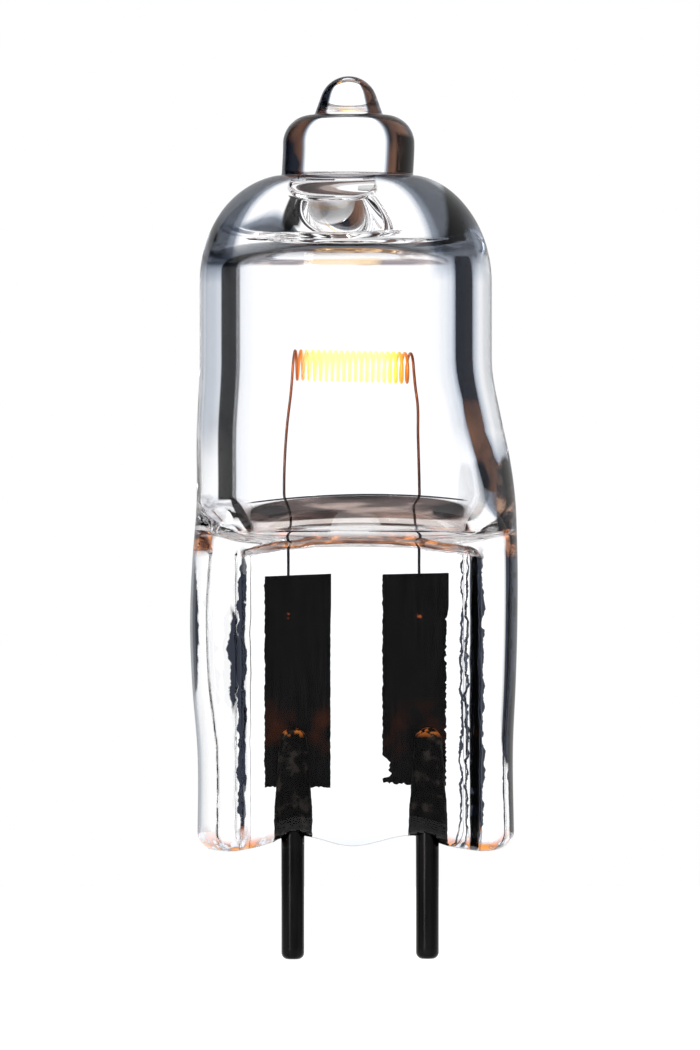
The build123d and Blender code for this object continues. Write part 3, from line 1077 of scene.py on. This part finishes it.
# The nearly black of the channels is painted shade, and the orange spark is a painted glint of the coil's
# light.
channel_shade_stops = [(0.46, (0.002, 0.002, 0.002)), (0.56, (0.005, 0.004, 0.004)), (0.66, (0.03, 0.025, 0.022))]
shade = ramp(add, noise(add, place, scale=2600.0, detail=4.0), channel_shade_stops)
spark = shares(add, noise(add, place, scale=6000.0, detail=2.0), [(0.48, 0), (0.56, 1)])
spark = times(add, spark, zone(channel_top - 0.3, channel_top - 0.1, 5.0, 6.0))
shade = blend(add, spark, shade, spark_orange)
fill(shader, {"Base Color": shade, "Roughness": 0.6, "Specular IOR Level": 0.02})
for finish in (quartz, bore, channels):
    envelope.data.materials.append(finish)
print("finishes on the envelope:", ", ".join(m.name for m in envelope.data.materials))

# %% [markdown]
# ### Glowing wire
# The coil is yellow-hot in its middle and cools towards its ends, where the first turns are orange and then
# brown. The legs stay dark. The heat is worked out from the place along the coil, so it follows the object.

# %% Tungsten
glow_power = 3.2
hot_half = 0.9
glow_from = 1.6
glow_full = 0.3
leg_cool_z = 9.6
leg_warm_z = 13.6
tungsten, shader, add, place = new_material("glowing_tungsten")
upright = coordinate(add, place, "Z")
heat_and_glint = fade(add, distance_from(add, coordinate(add, place, "X"), coil_x), coil_half * mm, hot_half * mm)
heat_and_glint = times(add, heat_and_glint, fade(add, upright, (coil_z - glow_from) * mm, (coil_z - glow_full) * mm))
glow_stops = [(0.0, (0.55, 0.1, 0.01)), (0.35, (1.0, 0.36, 0.03)), (1.0, (1.0, 0.72, 0.13))]
glow = ramp(add, heat_and_glint, glow_stops)
leg_stops = [(0.0, (0.03, 0.028, 0.032)), (0.25, (0.09, 0.06, 0.055))]
leg_stops += [(0.5, (0.16, 0.07, 0.05)), (1.0, (0.32, 0.1, 0.045))]
metal = ramp(add, fade(add, upright, leg_cool_z * mm, leg_warm_z * mm), leg_stops)
grain = add("TexNoise", {"Scale": 9000.0, "Detail": 2.0}).outputs["Fac"]
rough = fade(add, grain, 0.0, 1.0, 0.3, 0.5)
fill(shader, {"Base Color": metal, "Metallic": 1.0, "Roughness": rough})
strength = fade(add, heat_and_glint, 0.0, 1.0, 0.0, glow_power)
fill(shader, {"Emission Color": glow, "Emission Strength": strength})
filament.data.materials.append(tungsten)
print("coil glows with a strength of", glow_power)

# %% [markdown]
# ### Foil and pins
# Both are molybdenum. The foil is matt and painted nearly black as shade, with a faint grain along its
# length, painted brown glints of the coil near the pin heads and painted orange glints where the legs meet
# it. The pins are smoother, with drawing marks, and dark, with brown near the weld.

# %% Foil
foil_glint_brown = (0.045, 0.014, 0.007, 1.0)
weld_glint_orange = (1.0, 0.22, 0.05, 1.0)
weld_reach = 0.1
weld_full = 0.04
foil_finish, shader, add, place = new_material("painted_shade_foil")
zone = height_zones(add, place)
stretched = add("Mapping", {"Vector": place, "Scale": (9.0, 9.0, 0.7)}).outputs["Vector"]
grain = noise(add, stretched, scale=1000.0, detail=4.0)
# The foil's nearly black colour is painted shade; the grain in it is the foil's own.
shade = ramp(add, grain, [(0.3, (0.003, 0.003, 0.0035)), (0.7, (0.011, 0.01, 0.011))])
# Painted brown glints of the coil's light near the pin heads.
heat_and_glint = shares(add, noise(add, place, scale=1100.0, detail=2.0), [(0.42, 0), (0.65, 1)])
weld_zone = zone(2.6, 3.4, 3.9, 4.6)
shade = blend(add, times(add, heat_and_glint, weld_zone), shade, foil_glint_brown)
in_plane = add("VectorMath", {0: place, 1: (1.0, 0.0, 1.0)}, operation="MULTIPLY").outputs[0]
# Painted orange glints of the coil's light, given as emission, where the legs meet the foils.
nearest = 1.0
for leg_x in (left_bends[0][0], right_bends[-1][0]):
    spot = (leg_x * mm, 0.0, leg_foot * mm)
    away = add("VectorMath", {0: in_plane, 1: spot}, operation="DISTANCE").outputs["Value"]
    nearest = maths(add, "MINIMUM", away, nearest)
weld_glint = fade(add, nearest, weld_reach * mm, weld_full * mm)
speckle = shares(add, noise(add, place, scale=9000.0, detail=1.0), [(0.45, 0), (0.6, 0.35)])
weld_glint = times(add, weld_glint, speckle)
fill(shader, {"Base Color": shade, "Metallic": 1.0, "Roughness": 0.6})
fill(shader, {"Emission Color": weld_glint_orange, "Emission Strength": weld_glint})
for foil in foils:
    foil.data.materials.append(foil_finish)
print(foil_finish.name, "has", len(foil_finish.node_tree.nodes), "nodes")

# %% Pins
pin_brown = (0.1, 0.035, 0.015, 1.0)
pin_finish, shader, add, place = new_material("dark_drawn_wire")
zone = height_zones(add, place)
stretched = add("Mapping", {"Vector": place, "Scale": (5.0, 5.0, 0.5)}).outputs["Vector"]
marks = noise(add, stretched, scale=1000.0, detail=3.0)
shade = ramp(add, marks, [(0.3, (0.007, 0.007, 0.0075)), (0.7, (0.017, 0.016, 0.016))])
weld_zone = zone(2.6, 3.5, 4.0, 5.0)
shade = blend(add, weld_zone, shade, pin_brown)
rough = fade(add, marks, 0.0, 1.0, 0.12, 0.3)
fill(shader, {"Base Color": shade, "Metallic": 1.0, "Roughness": rough})
for pin in pins:
    pin.data.materials.append(pin_finish)
print("materials:", ", ".join(m.name for m in bpy.data.materials))

# %% [markdown]
# ## Floor, light and camera
# Clear glass shows only what surrounds it. A photographer puts a white panel behind it and keeps the space
# beside the panel dark, so that the edges, which bend light most, turn dark. The world here is white all
# round but for a dark gap at the back left and one opposite, below a white ceiling and above a pale floor.
# A narrow bright strip at the front left gives the glints. What the surfaces mirror is dimmer, as the
# camera's side of a studio is, so that the outlines stand out from the white.

# %% Floor
floor_r = 60.0
floor_sides = 64
ring_sizes = np.concatenate([[0.0], np.geomspace(2.0, floor_r, 24)])
around = np.linspace(0, 2 * np.pi, floor_sides + 1)[:-1]
floor_points, floor_faces = tube_shell(0.0, ring_sizes[:, None], pin_low[2], around)
floor = put("floor", make_mesh("floor", [(floor_points, floor_faces[:, ::-1])]))
paper, shader, add, place = new_material("pale_paper")
fibre = noise(add, place, scale=900.0, detail=2.0)
glow = ramp(add, fibre, [(0.3, (0.97, 0.97, 0.97)), (0.7, (1.0, 1.0, 1.0))])
fill(shader, {"Base Color": (0.5, 0.5, 0.5, 1.0), "Roughness": 1.0, "Specular IOR Level": 0.0})
fill(shader, {"Emission Color": glow, "Emission Strength": 1.0})
floor.data.materials.append(paper)
print("floor is", round(2 * floor_r), "mm across")

# %% Sizes of the panels, gaps, ceiling and strip
panel_light = 1.12
dark_light = 0.03
front_light = 0.35
gap_turn = math.radians(-54)
gap_reach = math.radians(25)
quarter_turn = math.radians(90)
panel_edge = math.radians(2)
panel_top = 0.75
ceiling_from = 0.8
soft_edge = 0.06
ground_from = -0.1
ground_full = -0.2
strip_turn = math.radians(-145)
strip_reach = math.radians(4)
strip_top = 0.4
strip_light = 14.0
print("panels give", panel_light, "and the strip adds", strip_light)

# %% World
world = bpy.data.worlds.new("studio")
bpy.context.scene.world = world
world.use_nodes = True
sky = world.node_tree
add = node_adder(sky)
way = add("TexCoord").outputs["Generated"]
up = coordinate(add, way, "Z")
compass = maths(add, "ARCTAN2", coordinate(add, way, "X"), coordinate(add, way, "Y"))
off = maths(add, "PINGPONG", maths(add, "SUBTRACT", compass, gap_turn), quarter_turn)
panels = fade(add, off, gap_reach - panel_edge, gap_reach + panel_edge, interpolation_type="SMOOTHSTEP")
panels = times(add, panels, fade(add, up, panel_top + soft_edge, panel_top - soft_edge))
ground = fade(add, up, ground_from, ground_full)
ceiling = fade(add, up, ceiling_from, ceiling_from + soft_edge)
bright = maths(add, "MAXIMUM", panels, maths(add, "MAXIMUM", ground, ceiling))
bright = fade(add, bright, 0.0, 1.0, dark_light, panel_light)
beside = maths(add, "ABSOLUTE", maths(add, "SUBTRACT", compass, strip_turn))
strip = maths(add, "LESS_THAN", beside, strip_reach)
strip = times(add, strip, maths(add, "LESS_THAN", maths(add, "ABSOLUTE", up), strip_top))
rays = add("LightPath").outputs
bright = times(add, bright, fade(add, rays["Is Reflection Ray"], 0.0, 1.0, 1.0, front_light))
lit = add_share(add, bright, strip, strip_light)
shown = add("Mix", {0: rays["Is Camera Ray"], 2: lit, 3: 1.0}).outputs[0]
fill(sky.nodes["Background"], {"Color": (1.0, 1.0, 1.0, 1.0), "Strength": shown})
print("dark gaps are", round(math.degrees(2 * gap_reach)), "degrees wide")

# %% Camera
photo_px = (700, 1050)
px_per_mm = 33.75
camera_turn = math.radians(-4.5)
camera_far = 300.0
middle_right = -0.3
middle_up = 9.66
ahead = np.array([-math.sin(camera_turn), math.cos(camera_turn), 0.0])
right = np.array([math.cos(camera_turn), math.sin(camera_turn), 0.0])
aim = right * middle_right + np.array([0.0, 0.0, middle_up])
lens_data = bpy.data.cameras.new("camera")
lens_data.sensor_width = 36.0
lens_data.lens = lens_data.sensor_width * camera_far / (photo_px[1] / px_per_mm)
lens_data.clip_start = 0.01
lens_data.clip_end = 10.0
camera = put("camera", lens_data)
camera.location = (aim - ahead * camera_far) * mm
camera.rotation_euler = (math.pi / 2, 0.0, camera_turn)
bpy.context.scene.camera = camera
print("lens of", round(lens_data.lens), "mm from", camera_far, "mm away")

# %% Colours and light paths
studio = bpy.context.scene
studio.view_settings.view_transform = "Standard"
studio.cycles.max_bounces = 32
studio.cycles.transmission_bounces = 28
studio.cycles.glossy_bounces = 20
print("light may cross", studio.cycles.transmission_bounces, "surfaces")
